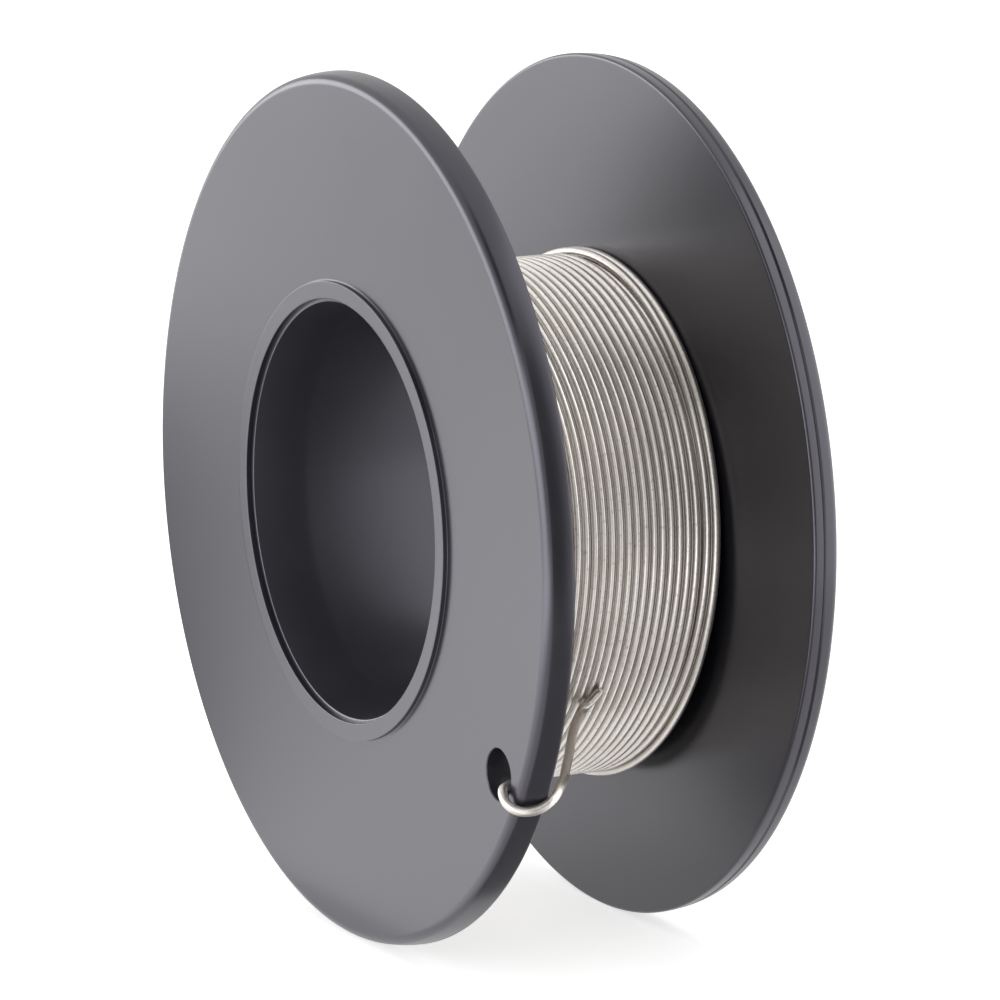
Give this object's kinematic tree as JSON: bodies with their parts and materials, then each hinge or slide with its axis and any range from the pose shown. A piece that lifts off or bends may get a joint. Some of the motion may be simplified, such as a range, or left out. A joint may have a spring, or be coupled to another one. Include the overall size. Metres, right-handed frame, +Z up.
{
  "type": "solder wire spool",
  "caption": "Plastic spool with two round flanges and an open bore, wound with solder wire whose end is hooked through a hole in one flange.",
  "frame": {"origin": "on the bore's axis, halfway between the outside faces of the two flanges", "axes": "+Y along the bore's axis from the front flange, which holds the wire's end, to the rear flange; +Z up as the spool stands on its rims; +X to the side of the hole for the wire's end"},
  "size_m": [0.063, 0.0244, 0.063],
  "materials": {
    "flange_plastic": "satin moulded",
    "barrel_plastic": "satin moulded",
    "solder": "bright drawn wire"
  },
  "bodies": {
    "root": {"front_flange": "flange_plastic", "rear_flange": "flange_plastic", "barrel": "barrel_plastic", "solder_inner_layer": "solder", "solder_outer_layer": "solder", "solder_tail": "solder"}
  },
  "joints": []
}
